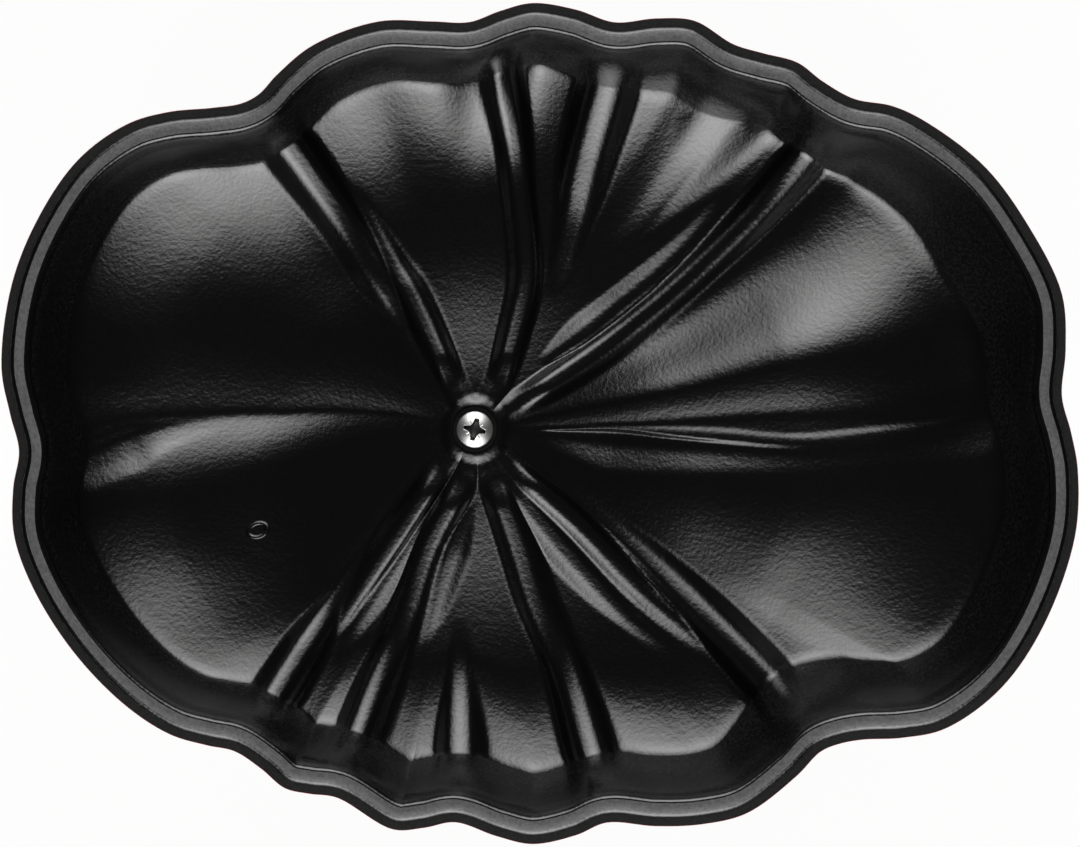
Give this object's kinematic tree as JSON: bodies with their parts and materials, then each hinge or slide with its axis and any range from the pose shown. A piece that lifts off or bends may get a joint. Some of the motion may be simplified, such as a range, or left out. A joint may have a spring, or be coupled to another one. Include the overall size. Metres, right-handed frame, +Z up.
{
  "type": "dutch oven",
  "caption": "Enamelled cast-iron dutch oven with a lobed oval outline, lug handles, and its domed lid lying upside down on the pot, held to a stalk-shaped knob by a screw.",
  "frame": {"origin": "on the surface that the pot stands on, under the middle of the outline", "axes": "+X along the length, from handle to handle, +Z up"},
  "size_m": [0.258, 0.195, 0.123],
  "materials": {
    "red_enamel": "glossy vitreous enamel over cast iron",
    "black_enamel": "fine-grained satin black enamel over cast iron",
    "knob_steel": "satin cast steel",
    "screw_steel": "bright steel",
    "washer_rubber": "matt black"
  },
  "bodies": {
    "pot": {"pot": "red_enamel"},
    "lid": {"lid": "black_enamel", "lid_knob": "knob_steel", "knob_screw": "screw_steel", "screw_washer": "washer_rubber"}
  },
  "joints": [
    {"name": "lid_lift", "type": "slide", "parent": "pot", "child": "lid", "axis": [0, 0, 1], "range_m": [0, 0.1]}
  ]
}
